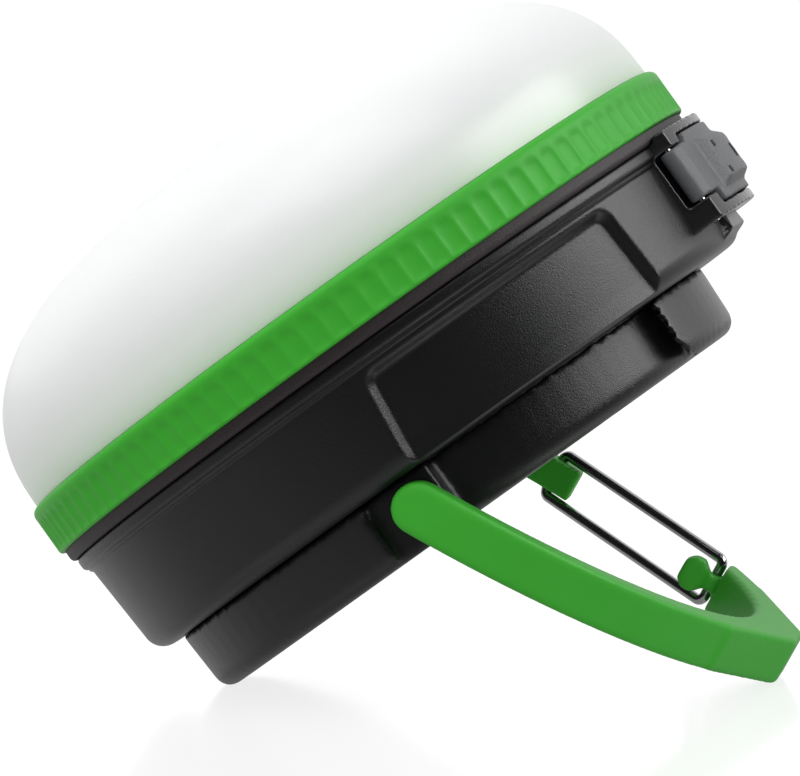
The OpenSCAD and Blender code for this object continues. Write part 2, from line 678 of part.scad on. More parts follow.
reflector_h = 1.2;
board_h = 1.6;
led_outer_r = inner_r - 7.5;
led_inner_r = led_outer_r * 0.51;
module at_plate_screws() at_posts() children();
module led_ring() {
    for (i = [0 : led_count - 1]) rotate([0, 0, 360 * (i + 0.5) / led_count])
        translate([led_outer_r, 0, 0]) children();
    for (i = [0 : 7]) rotate([0, 0, 45 * i + 22.5]) translate([led_inner_r, 0, 0]) children();
    children();
}
module led_board() color("white") stance() translate([0, 0, plate_z + seat]) difference() {
    cylinder(r = inner_r - 1.5, h = board_h);
    at_plate_screws() translate([0, 0, -1]) cylinder(r = screw_r + 0.3, h = 4, $fn = 24);
}
module reflector_plate() color("white") stance() translate([0, 0, plate_z + board_h + 2 * seat]) difference() {
    cylinder(r = inner_r - 0.3, h = reflector_h);
    led_ring() translate([-led_w / 2 - 0.25, -led_w / 2 - 0.25, -1]) cube([led_w + 0.5, led_w + 0.5, 4]);
    at_plate_screws() translate([0, 0, -1]) cylinder(r = 3.1, h = 4, $fn = 32);
}
module led_chips() color("khaki") stance() translate([0, 0, plate_z + board_h + 2 * seat])
    led_ring() translate([-led_w / 2, -led_w / 2, 0]) cube([led_w, led_w, 0.9]);
module lamp_screws() color("silver") stance() at_posts() {
    translate([0, 0, plate_z + board_h + 2 * seat]) cylinder(r = 2.7, h = 1.5, $fn = 32);
    translate([0, 0, plate_z - 6]) cylinder(r = screw_r - 0.15, h = 7 + board_h, $fn = 24);
}

// ---------- Battery ----------

cell_z = pivot_z + pin_r + 0.6 + cell_d / 2;
module battery_cells() color("steelblue") stance() for (s = [-1, 1])
    translate([-cell_len / 2, s * (cell_d / 2 + 0.5), cell_z]) rotate([0, 90, 0])
        cylinder(r = cell_d / 2, h = cell_len);
module battery_holder() color("#1c1c1c") stance() difference() {
    translate([-cell_len / 2 - 2, -cell_d - 1.8, tub_wall + 0.1]) cube([cell_len + 4, 2 * cell_d + 3.6, 13]);
    // tunnel for the hook's axle
    translate([pivot_x, -far, 0]) along_y() union() {
        translate([0, -pivot_z, 0]) cylinder(r = pin_r + 0.6, h = 2 * far, $fn = 48);
        translate([-pin_r - 0.6, -pivot_z, 0]) cube([2 * pin_r + 1.2, pivot_z + 5, 2 * far]);
    }
    for (s = [-1, 1]) translate([-cell_len / 2 - seat, s * (cell_d / 2 + 0.5), cell_z]) rotate([0, 90, 0])
        cylinder(r = cell_d / 2 + seat, h = cell_len + 2 * seat);
    at_posts() translate([0, 0, 0]) cylinder(r = 4.5, h = 40, $fn = 32);
}

diffuser_dome();
bezel_ring();
ring_seal();
upper_housing();
base_tub();
base_gasket();
hook();
hook_stub();
hook_axle();
friction_washers();
gate_wire();
port_housing();
port_cover();
cover_pin();
usb_a_socket();
micro_usb_socket();
charge_board();
charge_lamp();
mode_button();
switch_board();
tact_switch();
reflector_plate();
led_board();
led_chips();
lamp_screws();
battery_cells();
battery_holder();
base_magnets();
base_screws();
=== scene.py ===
# %% [markdown]
# # A leaning camping lantern, dressed over its CAD model
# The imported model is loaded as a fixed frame, in which every part already has its size and place.
# Each step below adds one thing to it: the camera, the light, the materials, and then the pieces
# that need finer shapes than the solids have. Each new piece rides on one of the frame's bodies,
# so that it moves with the part of the lamp that it belongs to.

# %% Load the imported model
import json
import math

import bpy
from mathutils import Matrix, Vector


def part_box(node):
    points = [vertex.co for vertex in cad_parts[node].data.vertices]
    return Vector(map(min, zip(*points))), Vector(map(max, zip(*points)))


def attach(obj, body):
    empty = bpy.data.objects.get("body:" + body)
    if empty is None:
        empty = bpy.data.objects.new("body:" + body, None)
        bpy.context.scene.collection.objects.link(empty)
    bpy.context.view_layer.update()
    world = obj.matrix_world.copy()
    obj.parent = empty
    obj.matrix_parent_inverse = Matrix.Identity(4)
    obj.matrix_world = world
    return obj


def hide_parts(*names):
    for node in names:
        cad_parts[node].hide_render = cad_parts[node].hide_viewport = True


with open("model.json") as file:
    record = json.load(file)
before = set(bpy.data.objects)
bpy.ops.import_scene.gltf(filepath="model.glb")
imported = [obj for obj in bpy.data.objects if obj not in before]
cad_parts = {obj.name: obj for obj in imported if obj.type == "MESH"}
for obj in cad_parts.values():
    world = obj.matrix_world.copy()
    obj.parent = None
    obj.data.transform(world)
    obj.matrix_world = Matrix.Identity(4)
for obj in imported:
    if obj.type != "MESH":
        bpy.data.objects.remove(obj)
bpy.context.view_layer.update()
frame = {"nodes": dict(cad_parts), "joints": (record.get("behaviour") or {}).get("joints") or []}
nodes = frame["nodes"]
scene = bpy.context.scene
MM = 0.001
print("the packed model has", len(nodes), "nodes")

# %% [markdown]
# ## The lamp's own frame
# The lamp leans back on its hook by 34.75 degrees, but its round pieces are easiest to shape while
# it stands upright. So each is made upright, in millimetres, with the base's underside at zero.
# One matrix then turns it about the hook's pivot, which the frame gives, and puts it in place.

# %% The leaning lamp
TILT = math.radians(34.75)
PIVOT = Vector((-1, 0, 5.7)) * MM
hook_at = next(Vector(joint["pos_m"]) for joint in frame["joints"] if joint["name"] == "hook_swing")
lamp_turn = Matrix.Rotation(-TILT, 4, "Y")
to_lamp = Matrix.Translation(hook_at - lamp_turn @ PIVOT) @ lamp_turn
print("the hook's pivot is at", [round(v, 4) for v in hook_at], "m")

# %% [markdown]
# ## Camera
# From close by, the near end of a thing this small would look swollen. A long lens from almost a
# metre away keeps its lines nearly parallel. The camera's place is given by two angles, as on a
# globe round the lamp, because they are easier to judge than three coordinates.


# %% Long lens
def direction(azimuth, elevation):
    """The way to a point on a globe round the lamp: azimuth 0 is in front, 90 on its right."""
    a, e = math.radians(azimuth), math.radians(elevation)
    return Vector((math.sin(a) * math.cos(e), -math.cos(a) * math.cos(e), math.sin(e)))


LENS, DISTANCE = 268.6, 0.9396
CAMERA_AZ, CAMERA_EL, ROLL = 8.42, 4.25, math.radians(-1.2)
AIM = Vector((0.05, 0, 46.3)) * MM
cam_data = bpy.data.cameras.new("camera")
cam_data.sensor_fit = "HORIZONTAL"
cam_data.sensor_width = 36
cam_data.lens = LENS
cam_data.clip_end = 100
camera = bpy.data.objects.new("camera", cam_data)
scene.collection.objects.link(camera)
backwards = direction(CAMERA_AZ, CAMERA_EL)
level = backwards.to_track_quat("Z", "Y").to_matrix()
camera.rotation_euler = (level @ Matrix.Rotation(ROLL, 3, "Z")).to_euler()
camera.location = AIM + backwards * DISTANCE
bpy.context.scene.camera = camera
print("camera at", [round(v, 3) for v in camera.location], "m, lens", LENS, "mm")

# %% [markdown]
# ## Light
# Black plastic shows its shape by what it mirrors: where that is dark it looks black, and where it
# is bright an edge lights up. So the world is a bright backdrop behind the lamp and a dark room in
# front of it. A colour ramp on the Y part of the direction paints both, with a soft border.


# %% The room that the plastic mirrors
def set_inputs(node, **values):
    """Sets a shader node's inputs; in a name, an underscore stands for a space."""
    for name, value in values.items():
        node.inputs[name.replace("_", " ")].default_value = value
    return node


def add_node(tree, kind, **values):
    """Adds a shader node to a tree, with its inputs set."""
    return set_inputs(tree.nodes.new("ShaderNode" + kind), **values)


ROOM_DARK_TO, ROOM_BRIGHT_FROM = 0.5, 0.74
scene.view_settings.view_transform = "Standard"
world = bpy.data.worlds.new("studio")
scene.world = world
world.use_nodes = True
sky = world.node_tree
sky.nodes.clear()
way = add_node(sky, "TexCoord")
way_parts = add_node(sky, "SeparateXYZ")
front_to_back = add_node(sky, "Math")
front_to_back.operation = "MULTIPLY_ADD"
front_to_back.inputs[1].default_value = 0.5
front_to_back.inputs[2].default_value = 0.5
ramp = add_node(sky, "ValToRGB")
dark_end, bright_end = ramp.color_ramp.elements
dark_end.position = ROOM_DARK_TO
dark_end.color = (0.012, 0.012, 0.012, 1)
bright_end.position = ROOM_BRIGHT_FROM
bright_end.color = (1, 1, 1, 1)
room = add_node(sky, "Background")
sky.links.new(way.outputs["Generated"], way_parts.inputs[0])
sky.links.new(way_parts.outputs["Y"], front_to_back.inputs[0])
sky.links.new(front_to_back.outputs[0], ramp.inputs[0])
sky.links.new(ramp.outputs[0], room.inputs["Color"])
print("the room turns from dark to bright between", ROOM_DARK_TO, "and", ROOM_BRIGHT_FROM)

# %% [markdown]
# What lights the plastic is another matter: an even, pale light from all round fills the shadows.
# And what the camera sees behind the lamp, also through its frosted dome, is plain white. Light
# Path tells the kinds of ray apart, so that each kind gets its own world.

# %% Fill light and white backdrop
rays = add_node(sky, "LightPath")
fill = add_node(sky, "Background", Color=(0.97, 0.985, 1, 1), Strength=0.72)
white = add_node(sky, "Background", Color=(1, 1, 1, 1))
seen = add_node(sky, "Math")
seen.operation = "MAXIMUM"
pick_fill = add_node(sky, "MixShader")
pick_white = add_node(sky, "MixShader")
sky_out = add_node(sky, "OutputWorld")
sky.links.new(rays.outputs["Is Diffuse Ray"], pick_fill.inputs[0])
sky.links.new(room.outputs[0], pick_fill.inputs[1])
sky.links.new(fill.outputs[0], pick_fill.inputs[2])
sky.links.new(rays.outputs["Is Camera Ray"], seen.inputs[0])
sky.links.new(rays.outputs["Is Transmission Ray"], seen.inputs[1])
sky.links.new(seen.outputs[0], pick_white.inputs[0])
sky.links.new(pick_fill.outputs[0], pick_white.inputs[1])
sky.links.new(white.outputs[0], pick_white.inputs[2])
sky.links.new(pick_white.outputs[0], sky_out.inputs[0])
print("the world has", len(sky.nodes), "nodes")

# %% [markdown]
# Soft boxes stand where the walls of the lamp mirror them: one far to the right gives the grey
# sheen on that end of the housing, and one above lights the dome. The right one is seen by glossy
# rays only, so that it doesn't bleach the dome beside it. The other two only fill, unmirrored.


# %% Soft boxes
BOX_AIM = Vector((0, 0, 0.05))


def soft_box(name, azimuth, elevation, distance, size, power, mirrored=True, fills=True):
    """An area light that faces the lamp; mirrored and fills say which rays see it."""
    away = direction(azimuth, elevation) * distance
    data = bpy.data.lights.new(name, "AREA")
    data.shape = "RECTANGLE"
    data.size, data.size_y = size
    data.energy = power
    box = bpy.data.objects.new(name, data)
    scene.collection.objects.link(box)
    box.location = away + BOX_AIM
    box.rotation_euler = away.to_track_quat("Z", "Y").to_euler()
    box.visible_diffuse = fills
    box.visible_glossy = mirrored
    print(name, "gives", power, "W from", distance, "m")


soft_box("box_sheen", 88, 38, 0.9, (0.8, 0.5), 6.5, fills=False)
soft_box("box_top", -30, 66, 0.9, (0.9, 0.7), 3.7)
soft_box("box_left", -75, 24, 0.9, (0.5, 0.7), 2.2, mirrored=False)
soft_box("box_front", 25, 20, 1.2, (0.5, 0.5), 2.3, mirrored=False)

# %% [markdown]
# ## Floor
# A white table, with a soft reflection and a faint shadow of the lamp.

# %% White table
FLOOR_SIZE = 60
bpy.ops.object.select_all(action="DESELECT")
bpy.ops.mesh.primitive_plane_add(size=FLOOR_SIZE, location=(0, 0, 0))
floor = bpy.context.object
floor.name = "floor"
print("the floor is", FLOOR_SIZE, "m wide")

# %% [markdown]
# Brighter lights would whiten the table, but bleach the plastic as well. So most of the white is
# the table's own: it glows, and brightly for the camera only. What the lamp mirrors of it is dimmer,
# and fades out in front of the lamp, as at the edge of a table.

# %% Finish of the table
floor_mat = bpy.data.materials.new("floor_white")
floor_mat.use_nodes = True
table = floor_mat.node_tree
table.nodes.clear()
spot = add_node(table, "TexCoord")
spot_parts = add_node(table, "SeparateXYZ")
table_edge = add_node(table, "MapRange", From_Min=-0.30, From_Max=-0.06, To_Min=0.02, To_Max=0.34)
table_edge.interpolation_type = "SMOOTHSTEP"
table_rays = add_node(table, "LightPath")
glow_level = add_node(table, "Mix", B=0.80)
glow = add_node(table, "Emission")
shadow_coat = add_node(table, "BsdfDiffuse", Color=(0.10, 0.10, 0.10, 1))
gloss_coat = add_node(table, "BsdfGlossy", Color=(0.20, 0.20, 0.20, 1), Roughness=0.13)
glow_and_shadow = add_node(table, "AddShader")
all_coats = add_node(table, "AddShader")
table_out = add_node(table, "OutputMaterial")
table.links.new(spot.outputs["Object"], spot_parts.inputs[0])
table.links.new(spot_parts.outputs["Y"], table_edge.inputs["Value"])
table.links.new(table_rays.outputs["Is Camera Ray"], glow_level.inputs["Factor"])
table.links.new(table_edge.outputs[0], glow_level.inputs["A"])
table.links.new(glow_level.outputs["Result"], glow.inputs["Strength"])
table.links.new(glow.outputs[0], glow_and_shadow.inputs[0])
table.links.new(shadow_coat.outputs[0], glow_and_shadow.inputs[1])
table.links.new(glow_and_shadow.outputs[0], all_coats.inputs[0])
table.links.new(gloss_coat.outputs[0], all_coats.inputs[1])
table.links.new(all_coats.outputs[0], table_out.inputs[0])
floor.data.materials.append(floor_mat)
print("made", floor_mat.name)


# %% [markdown]
# ## Grain
# A mould for plastic is etched, so that the part comes out with a fine even grain. Every plastic
# here shares one node group that makes it from noise. Its height goes into the bump, and the same
# noise varies the roughness a little. A group is built once, and each material gives its own size.

# %% Grain of moulded plastic
def grain_group():
    """Noise in the piece's own space; it gives a bumped normal and the noise itself."""
    group = bpy.data.node_groups.new("grain", "ShaderNodeTree")
    for name in ("Scale", "Height"):
        group.interface.new_socket(name, in_out="INPUT", socket_type="NodeSocketFloat")
    group.interface.new_socket("Normal", in_out="OUTPUT", socket_type="NodeSocketVector")
    group.interface.new_socket("Fine", in_out="OUTPUT", socket_type="NodeSocketFloat")
    given, result = group.nodes.new("NodeGroupInput"), group.nodes.new("NodeGroupOutput")
    place = add_node(group, "TexCoord")
    noise = add_node(group, "TexNoise", Detail=2.5, Roughness=0.55)
    bump = add_node(group, "Bump", Strength=1)
    group.links.new(place.outputs["Object"], noise.inputs["Vector"])
    group.links.new(given.outputs["Scale"], noise.inputs["Scale"])
    group.links.new(noise.outputs["Fac"], bump.inputs["Height"])
    group.links.new(given.outputs["Height"], bump.inputs["Distance"])
    group.links.new(bump.outputs["Normal"], result.inputs["Normal"])
    group.links.new(noise.outputs["Fac"], result.inputs["Fine"])
    return group


GRAIN = grain_group()
print("the grain group has", len(GRAIN.nodes), "nodes")


# %% [markdown]
# ## Materials
# Each finish is a Principled shader with that grain, and with a colour that drifts a little from
# place to place, as dyed plastic does. Fine high grain looks dry and dull; coarse low grain looks
# smooth and glossy. The metals are made the same way, because a drawn wire has a fine tooth too.

# %% One function for every finish
def plastic(name, color, rough, grain, spec=0.5, metal=0.0, vary=0.06, shade=0.12):
    """A moulded finish; grain is its noise scale and its height in metres."""
    material = bpy.data.materials.new(name)
    material.use_nodes = True
    tree = material.node_tree
    shader = set_inputs(tree.nodes["Principled BSDF"], Metallic=metal, Specular_IOR_Level=spec)
    tooth = tree.nodes.new("ShaderNodeGroup")
    tooth.node_tree = GRAIN
    set_inputs(tooth, Scale=grain[0], Height=grain[1])
    dull = add_node(tree, "MapRange", To_Min=rough - vary, To_Max=rough + vary)
    place = add_node(tree, "TexCoord")
    clouds = add_node(tree, "TexNoise", Scale=90, Detail=3)
    dye = add_node(tree, "Mix")
    dye.data_type = "RGBA"
    dye.inputs["A"].default_value = (*[v * (1 - shade) for v in color], 1)
    dye.inputs["B"].default_value = (*[min(1, v * (1 + shade)) for v in color], 1)
    tree.links.new(tooth.outputs["Normal"], shader.inputs["Normal"])
    tree.links.new(tooth.outputs["Fine"], dull.inputs["Value"])
    tree.links.new(dull.outputs[0], shader.inputs["Roughness"])
    tree.links.new(place.outputs["Object"], clouds.inputs["Vector"])
    tree.links.new(clouds.outputs["Fac"], dye.inputs["Factor"])
    tree.links.new(dye.outputs["Result"], shader.inputs["Base Color"])
    print("finish", name)
    return material


# %% Finishes of the shell
black = plastic("black_textured", (0.006, 0.006, 0.0064), 0.33, (4300, 0.00006), spec=0.42)
green = plastic("green_moulded", (0.042, 0.37, 0.026), 0.48, (900, 0.00002), spec=0.2, shade=0.04)
seal = plastic("seal_rubber", (0.022, 0.014, 0.016), 0.6, (3600, 0.0001))
rubber = plastic("black_rubber", (0.015, 0.015, 0.016), 0.6, (1800, 0.00005))
gloss_black = plastic("gloss_black", (0.01, 0.01, 0.011), 0.22, (900, 0.00001))
grey = plastic("grey_textured", (0.085, 0.087, 0.093), 0.5, (3200, 0.00008))

# %% [markdown]
# The wire, the pins and the screws are bare steel, and the sockets and magnets are plated. Inside
# the lamp are boards, chips and cells: they show only when it is taken apart, but they get their
# finish too.

# %% Metals, and finishes of the inner pieces
steel = plastic("drawn_steel", (0.42, 0.42, 0.43), 0.14, (1400, 0.00001), metal=1.0, vary=0.04)
plated = plastic("plated", (0.72, 0.72, 0.73), 0.2, (1400, 0.00001), metal=1.0, vary=0.04)
laminate = plastic("green_laminate", (0.02, 0.16, 0.06), 0.35, (900, 0.00001))
white_plastic = plastic("white_plastic", (0.8, 0.8, 0.8), 0.35, (900, 0.00001), shade=0.02)
chip = plastic("chip", (0.75, 0.6, 0.15), 0.3, (900, 0.00001))
sleeve = plastic("cell_sleeve", (0.03, 0.12, 0.35), 0.3, (900, 0.00001))

# %% [markdown]
# The dome is frosted: it scatters what light falls on it. Near the ring, the green light that the
# ring throws onto it is painted into its colour, as a painted green reflection. The height above the
# ring is measured along the lamp's own axis, which a Mapping node turns upright, and a colour ramp
# on that height paints the green in.

# %% Frosted dome
RING_TOP = 40.6
# How high above the ring the painted green reflection reaches.
PAINTED_BOUNCE_HEIGHT = 11 * MM
dome_mat = bpy.data.materials.new("frosted_dome")
dome_mat.use_nodes = True
frost = dome_mat.node_tree
frost_shader = set_inputs(
    frost.nodes["Principled BSDF"], Roughness=0.28, Specular_IOR_Level=0.4, Subsurface_Weight=0.5,
    Subsurface_Radius=(0.012, 0.012, 0.012), Subsurface_Scale=1.0,
)
frost_place = add_node(frost, "TexCoord")
upright = add_node(frost, "Mapping", Rotation=(0, TILT, 0))
upright_parts = add_node(frost, "SeparateXYZ")
ring_top = Matrix.Rotation(TILT, 3, "Y") @ (to_lamp @ (Vector((0, 0, RING_TOP)) * MM))
above_ring = add_node(frost, "MapRange", From_Min=ring_top.z, From_Max=ring_top.z + PAINTED_BOUNCE_HEIGHT)
# Painted reflection: the ring's green light on the dome is painted into its base colour, strongest at
# the ring. The top colour is the dome's own white.
painted_bounce = add_node(frost, "ValToRGB")
painted_bounce.color_ramp.elements[0].color = (0.70, 0.91, 0.66, 1)
painted_bounce.color_ramp.elements[1].color = (0.92, 0.925, 0.92, 1)
painted_bounce.color_ramp.elements.new(0.42).color = (0.86, 0.94, 0.84, 1)
frost_noise = add_node(frost, "TexNoise", Scale=2600)
frost_bump = add_node(frost, "Bump", Distance=0.00002)
frost.links.new(frost_place.outputs["Object"], upright.inputs["Vector"])
frost.links.new(upright.outputs[0], upright_parts.inputs[0])
frost.links.new(upright_parts.outputs["Z"], above_ring.inputs["Value"])
frost.links.new(above_ring.outputs[0], painted_bounce.inputs[0])
frost.links.new(painted_bounce.outputs[0], frost_shader.inputs["Base Color"])
frost.links.new(frost_place.outputs["Object"], frost_noise.inputs["Vector"])
frost.links.new(frost_noise.outputs["Fac"], frost_bump.inputs["Height"])
frost.links.new(frost_bump.outputs[0], frost_shader.inputs["Normal"])
print("the green tint ends", round(PAINTED_BOUNCE_HEIGHT / MM), "mm above the ring")

# %% [markdown]
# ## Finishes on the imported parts
# Most parts of the lamp have the right shape already: screws, sockets, boards, wire. They keep
# their solids, and only get a finish in the place of the plain colour that they came with.

# %% Finish of every node
finishes = {
    dome_mat: ("diffuser_dome",),
    green: ("bezel_ring", "hook", "hook_stub"),
    seal: ("ring_seal",),
    black: ("upper_housing", "base_tub"),
    gloss_black: ("port_housing",),
    grey: ("port_cover",),
    rubber: ("base_gasket", "mode_button", "friction_washers", "tact_switch", "battery_holder"),
    steel: ("gate_wire", "hook_axle", "cover_pin", "base_screws", "lamp_screws"),
    plated: ("usb_a_socket", "micro_usb_socket", "base_magnets"),
    laminate: ("charge_board", "switch_board"),
    white_plastic: ("charge_lamp", "reflector_plate", "led_board"),
    chip: ("led_chips",),
    sleeve: ("battery_cells",),
}
for material, names in finishes.items():
    for name in names:
        nodes[name].data.materials.clear()
        nodes[name].data.materials.append(material)
print("finished", sum(len(names) for names in finishes.values()), "of", len(nodes), "nodes")


# %% [markdown]
# ## Shaping helpers
# Most of this lamp is turned: the dome, the ring and the housing share one axis. So each finer skin
# starts as half of its outline, standing up like a template, and the Screw modifier turns it round.
# The spin operator would do the same, but slows down with many steps. What isn't round, such as
# scoops and a grip recess, is then pressed into the turned mesh by moving its points along the
# radius, which keeps every border soft, as in a mould.

# %% Points of an outline
def arc(cx, cz, r, start, end, steps):
    """Points on an arc, from one angle to another."""
    angles = [math.radians(start + (end - start) * i / steps) for i in range(steps + 1)]
    return [(cx + r * math.cos(a), cz + r * math.sin(a)) for a in angles]


def fine(rows, step):
    """Puts points along the straight stretches of an outline, one step apart."""
    out = []
    for (r0, z0), (r1, z1) in zip(rows, rows[1:] + rows[:1]):
        n = max(1, round(math.hypot(r1 - r0, z1 - z0) / step))
        out += [(r0 + (r1 - r0) * i / n, z0 + (z1 - z0) * i / n) for i in range(n)]
    return out


corner = arc(0, 0, 1, 0, 90, 4)
print("a quarter circle in 4 steps has", len(corner), "points")


# %% An outline, turned about the lamp's axis
MERGE = 0.000002


def solo(obj):
    bpy.ops.object.select_all(action="DESELECT")
    obj.select_set(True)
    bpy.context.view_layer.objects.active = obj


def merge_doubles():
    """Leaves the selected mesh in edit mode, with everything selected and its doubles merged."""
    bpy.ops.object.mode_set(mode="EDIT")
    bpy.ops.mesh.select_all(action="SELECT")
    bpy.ops.mesh.remove_doubles(threshold=MERGE)


def turned(name, rows, steps):
    """Turns a closed outline of radius and height, both in millimetres."""
    mesh = bpy.data.meshes.new(name)
    n = len(rows)
    mesh.from_pydata([(r * MM, 0, z * MM) for r, z in rows], [(i, (i + 1) % n) for i in range(n)], [])
    obj = bpy.data.objects.new(name, mesh)
    scene.collection.objects.link(obj)
    solo(obj)
    turn = obj.modifiers.new("turn", "SCREW")
    turn.axis = "Z"
    turn.angle = 2 * math.pi
    turn.steps = turn.render_steps = steps
    turn.use_merge_vertices = True
    turn.merge_threshold = MERGE
    bpy.ops.object.modifier_apply(modifier="turn")
    merge_doubles()
    bpy.ops.mesh.normals_make_consistent(inside=False)
    bpy.ops.object.mode_set(mode="OBJECT")
    print("turned", name, "from", n, "points in", steps, "steps")
    return obj


# %% [markdown]
# A finished piece goes to its place, gets its finish, and is handed to the body that it rides on.
# Where two of its faces meet at less than the given angle, the edge is shaded smooth.


# %% Handing a piece over
def hand_over(obj, material, body, smooth, replaced=None, place=None):
    """Places, shades and finishes a piece, and hands it to the body that it rides on."""
    if place is not None:
        obj.data.transform(place)
    solo(obj)
    bpy.ops.object.shade_smooth_by_angle(angle=math.radians(smooth))
    obj.data.materials.clear()
    obj.data.materials.append(material)
    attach(obj, body)
    if replaced:
        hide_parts(replaced)
    print(obj.name, "has", len(obj.data.polygons), "faces and rides on the", body)


def soft_step(t):
    """Goes from 0 to 1 as t does, and starts and ends gently."""
    t = min(1.0, max(0.0, t))
    return t * t * (3 - 2 * t)


# %% [markdown]
# ## Ring with scoops
# The green ring that holds the dome is gripped when the lamp is opened, so its side has shallow
# scoops with a plain band left above them. A hundred scoops could be cut with booleans, but their
# edges would be sharp. Here the side of a turned ring is pressed in by a formula: each scoop is a
# hollow between two low ridges, with a rounded upper end. Ten steps to a scoop take it well.

# %% Turned ring
RING_R, RING_LOW, BORE_R = 60.0, 32.4, 57.7
TOP_ROUND, LOW_ROUND = 1.3, 0.65
SCOOPS, STEPS_PER_SCOOP = 105, 10
ring_rows = [(BORE_R, RING_LOW), (BORE_R, RING_TOP)]
ring_rows += arc(RING_R - TOP_ROUND, RING_TOP - TOP_ROUND, TOP_ROUND, 90, 0, 9)
ring_rows += arc(RING_R - LOW_ROUND, RING_LOW + LOW_ROUND, LOW_ROUND, 0, -90, 6)
ring = turned("fluted_ring", fine(ring_rows, 0.6), SCOOPS * STEPS_PER_SCOOP)

# %% Scoops round its side
SCOOP_DEEP, PLAIN_BAND, END_ROUND = 0.36, 2.0, 0.9
SIDE_DEPTH, LOW_BAND = 1.0, 0.25
UPPER_SLOPE, LOWER_SLOPE = 0.8, 0.7
for v in ring.data.vertices:
    x, y, z = v.co / MM
    r = math.hypot(x, y)
    if r < RING_R - SIDE_DEPTH:
        continue
    from_middle = abs(2 * ((math.atan2(y, x) / (2 * math.pi) * SCOOPS) % 1) - 1)
    scoop = SCOOP_DEEP * (1 - from_middle ** 2.4)
    scoop *= soft_step((RING_TOP - PLAIN_BAND - END_ROUND * from_middle ** 3 - z) / UPPER_SLOPE)
    scoop *= soft_step((z - RING_LOW - LOW_BAND) / LOWER_SLOPE)
    v.co.x *= (r - scoop) / r
    v.co.y *= (r - scoop) / r
print("each scoop is", round(2 * math.pi * RING_R / SCOOPS, 2), "mm wide and", SCOOP_DEEP, "mm deep")
hand_over(ring, green, "lamp", 60, "bezel_ring", to_lamp)

# %% [markdown]
# ## Housing
# The housing is a moulded tub with a bead along its top edge, a wall that draws in slightly towards
# its foot, and a spigot inside the ring. It is one outline, turned. The wall has many rows of
# points, because the recess below is pressed into it, and a border is as smooth as its rows.

# %% Turned housing
SPLIT, HOUSING_TOP, SPIGOT_TOP = 10.9, 30.3, 35.9
BEAD_R, WALL_TOP, WALL_FOOT, INNER_R, SPIGOT_R = 58.5, 57.4, 56.7, 54.5, 57.65
BEAD_H, FLOOR_T, FLAT_R, AXIS_R = 2.3, 2.2, 50.0, 1.0
BEAD_TOP_ROUND, BEAD_LOW_ROUND, NECK_ROUND, FOOT_ROUND = 0.6, 0.9, 0.5, 3.3
bead_low = HOUSING_TOP - BEAD_H
foot_z = SPLIT + FOOT_ROUND
house_rows = [
    (AXIS_R, SPLIT + FLOOR_T), (INNER_R, SPLIT + FLOOR_T), (INNER_R, SPIGOT_TOP),
    (SPIGOT_R, SPIGOT_TOP), (SPIGOT_R, HOUSING_TOP),
]
house_rows += arc(BEAD_R - BEAD_TOP_ROUND, HOUSING_TOP - BEAD_TOP_ROUND, BEAD_TOP_ROUND, 90, 0, 5)
house_rows += arc(BEAD_R - BEAD_LOW_ROUND, bead_low + BEAD_LOW_ROUND, BEAD_LOW_ROUND, 0, -70, 6)
house_rows += arc(WALL_TOP + NECK_ROUND, bead_low - 0.9, NECK_ROUND, 110, 180, 4)
wall_rows = fine([(WALL_TOP, bead_low - 1.1), (WALL_FOOT, foot_z)], 0.36)
house_rows += wall_rows[:len(wall_rows) // 2 + 1]
house_rows += arc(WALL_FOOT - FOOT_ROUND, foot_z, FOOT_ROUND, 0, -90, 16)[1:]
house_rows += [(FLAT_R, SPLIT), (AXIS_R, SPLIT)]
house = turned("housing_skin", house_rows, 800)


# %% [markdown]
# A shallow recess on one side gives the fingers a hold. Its border slopes, and its upper corners
# are rounded. It is measured along the wall: how far inside the nearest border a point lies decides
# how deep it is pressed. Where two borders meet, the distance to a rounded corner counts.

# %% Grip recess
RECESS_AZ, RECESS_TOP, RECESS_DEEP = 28.5, 26.8, 1.6
HALF_TOP, HALF_FOOT = 24.5, 26.5
SLOPE_W, CORNER_R = 1.7, 2.6
WALL_H, INNER_EDGE = 12.5, 50.5
under_bead = bead_low - 0.2


def rounded_inside(distances, r):
    """Distance inside a shape whose sides meet with a corner radius."""
    over = [max(0.0, r - d) for d in distances]
    reach = math.sqrt(sum(o * o for o in over))
    return r - reach if reach > 0 else min(distances)


def wall_radius(z):
    """The wall's own radius at a height, because it leans a little."""
    return WALL_FOOT + (WALL_TOP - WALL_FOOT) * min(1, max(0, (z - foot_z) / WALL_H))


pressed = 0
for v in house.data.vertices:
    x, y, z = v.co / MM
    r = math.hypot(x, y)
    if r < INNER_EDGE or z > under_bead:
        continue
    azimuth = math.degrees(math.atan2(x, -y))
    side = abs((azimuth - RECESS_AZ + 180) % 360 - 180)
    down = (RECESS_TOP - z) / (RECESS_TOP - SPLIT)
    half = HALF_TOP + (HALF_FOOT - HALF_TOP) * down
    inside = rounded_inside([math.radians(half - side) * WALL_TOP, RECESS_TOP - z], CORNER_R)
    deep = RECESS_DEEP * soft_step(inside / SLOPE_W)
    target = wall_radius(z) - deep
    if deep > 0 and r > target:
        v.co.x *= target / r
        v.co.y *= target / r
        pressed += 1
print("the recess moved", pressed, "points")

# %% [markdown]
# Two smaller forms go in the same way. On the right, below the port, the wall's rounded foot comes
# out to a flat thumb rest. At the back, the wall has a flat round seat with a hollow in it, which
# the button fills; its height is read from the button's own box.

